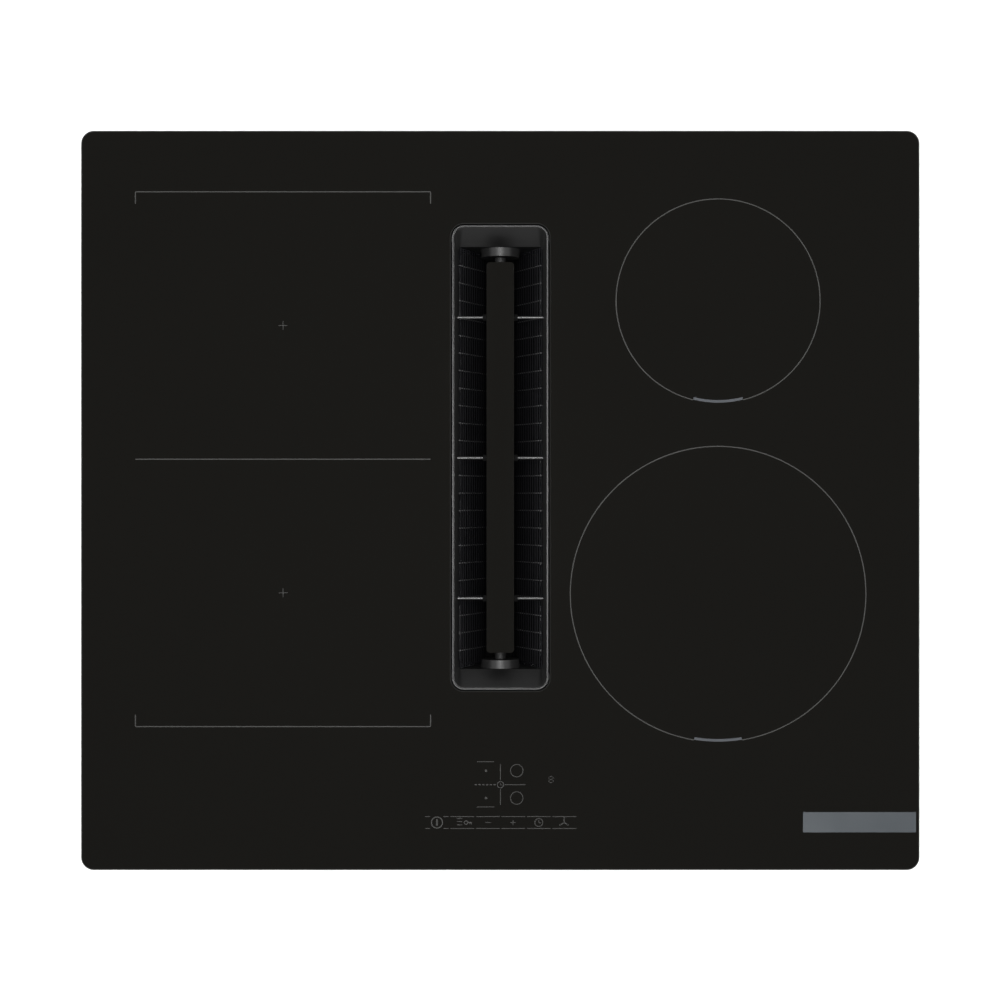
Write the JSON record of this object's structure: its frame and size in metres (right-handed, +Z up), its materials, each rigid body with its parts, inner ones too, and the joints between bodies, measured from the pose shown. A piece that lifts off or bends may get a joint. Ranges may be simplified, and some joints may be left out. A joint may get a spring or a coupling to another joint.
{
  "type": "venting induction cooktop",
  "caption": "Frameless black glass induction cooktop with a central slot, lift-out grease filter unit and a blower module below that blows out at the rear.",
  "frame": {"origin": "under the centre of the glass plate, on the plane that the blower module stands on", "axes": "+X to the right of the cook, +Y to the back edge, +Z up out of the glass"},
  "size_m": [0.592, 0.522, 0.223],
  "materials": {
    "black_glass": "polished",
    "rim_foam": "matt foam",
    "bond": "matt",
    "tray_sheet": "galvanised",
    "throat_plastic": "fine grain",
    "frame_plastic": "fine grain",
    "trim_steel": "brushed",
    "spine_plastic": "satin",
    "rod_steel": "bright",
    "collar_rubber": "matt",
    "panel_steel": "dark satin",
    "mesh_metal": "fine mesh",
    "channel_plastic": "satin",
    "housing_plastic": "fine grain",
    "container_plastic": "translucent grey",
    "seal_rubber": "matt",
    "spring_steel": "bright rolled",
    "wheel_plastic": "satin",
    "motor_metal": "die cast",
    "shaft_steel": "ground",
    "driver_plastic": "fine grain",
    "copper_wire": "lacquered strands",
    "former_plastic": "satin",
    "ferrite": "sintered",
    "mica": "flaky",
    "sensor_cap": "glazed",
    "carrier_aluminium": "rolled",
    "board_green": "lacquered",
    "board_parts": "mixed",
    "sink_aluminium": "extruded",
    "fan_plastic": "satin",
    "nylon_white": "satin",
    "screw_steel": "zinc plated",
    "gland_plastic": "satin",
    "pad_foam": "conductive foam",
    "display_plastic": "smoked"
  },
  "bodies": {
    "cooktop": {"glass_plate": "black_glass", "worktop_seal": "rim_foam", "glass_bond": "bond", "base_tray": "tray_sheet", "duct_throat": "throat_plastic", "plenum_housing": "housing_plastic", "container_clips": "spring_steel", "scroll_tub": "housing_plastic", "scroll_lid": "housing_plastic", "inlet_nozzle": "wheel_plastic", "transfer_duct": "housing_plastic", "motor_mount": "seal_rubber", "motor_stator": "motor_metal", "motor_bearings": "shaft_steel", "outlet_collar": "housing_plastic", "driver_box": "driver_plastic", "lid_screws": "screw_steel", "module_screws": "screw_steel", "hanger_brackets": "spring_steel", "coil_left_rear": "copper_wire", "coil_left_front": "copper_wire", "coil_right_rear": "copper_wire", "coil_right_front": "copper_wire", "coil_formers": "former_plastic", "ferrite_bars": "ferrite", "temperature_sensors": "sensor_cap", "mica_sheets": "mica", "coil_carrier_left": "carrier_aluminium", "coil_carrier_right": "carrier_aluminium", "carrier_springs": "spring_steel", "power_board_left": "board_green", "power_board_right": "board_green", "board_standoffs": "nylon_white", "board_parts": "board_parts", "heat_sinks": "sink_aluminium", "cooling_fan_frames": "fan_plastic", "control_frame": "former_plastic", "control_board": "board_green", "touch_pads": "pad_foam", "display_module": "display_plastic", "terminal_block": "nylon_white", "cable_gland": "gland_plastic", "worktop_clips": "spring_steel"},
    "filter_unit": {"inlet_frame": "frame_plastic", "inlet_trim": "trim_steel", "bar_spine": "spine_plastic", "bar_glass": "black_glass", "cross_rods": "rod_steel", "rod_collars": "collar_rubber", "filter_panel_left": "panel_steel", "filter_panel_right": "panel_steel", "grease_mesh": "mesh_metal", "drip_channel": "channel_plastic"},
    "overflow_unit": {"overflow_container": "container_plastic", "container_seal": "seal_rubber"},
    "blower": {"blower_wheel": "wheel_plastic", "motor_shaft": "shaft_steel", "motor_rotor": "motor_metal"},
    "fan_left": {"cooling_fan_wheel_left": "fan_plastic"},
    "fan_right": {"cooling_fan_wheel_right": "fan_plastic"}
  },
  "joints": [
    {"name": "filter_lift", "type": "slide", "parent": "cooktop", "child": "filter_unit", "axis": [0, 0, 1], "range_m": [0, 0.09]},
    {"name": "container_drop", "type": "slide", "parent": "cooktop", "child": "overflow_unit", "axis": [0, 0, -1], "range_m": [0, 0.06]},
    {"name": "blower_spin", "type": "hinge", "parent": "cooktop", "child": "blower", "pos_m": [0.15, 0.01, 0.05], "axis": [0, 0, 1], "continuous": true},
    {"name": "fan_left_spin", "type": "hinge", "parent": "cooktop", "child": "fan_left", "pos_m": [-0.232, 0.196, 0.18], "axis": [0, 0, 1], "continuous": true},
    {"name": "fan_right_spin", "type": "hinge", "parent": "cooktop", "child": "fan_right", "pos_m": [0.232, 0.196, 0.18], "axis": [0, 0, 1], "continuous": true}
  ]
}
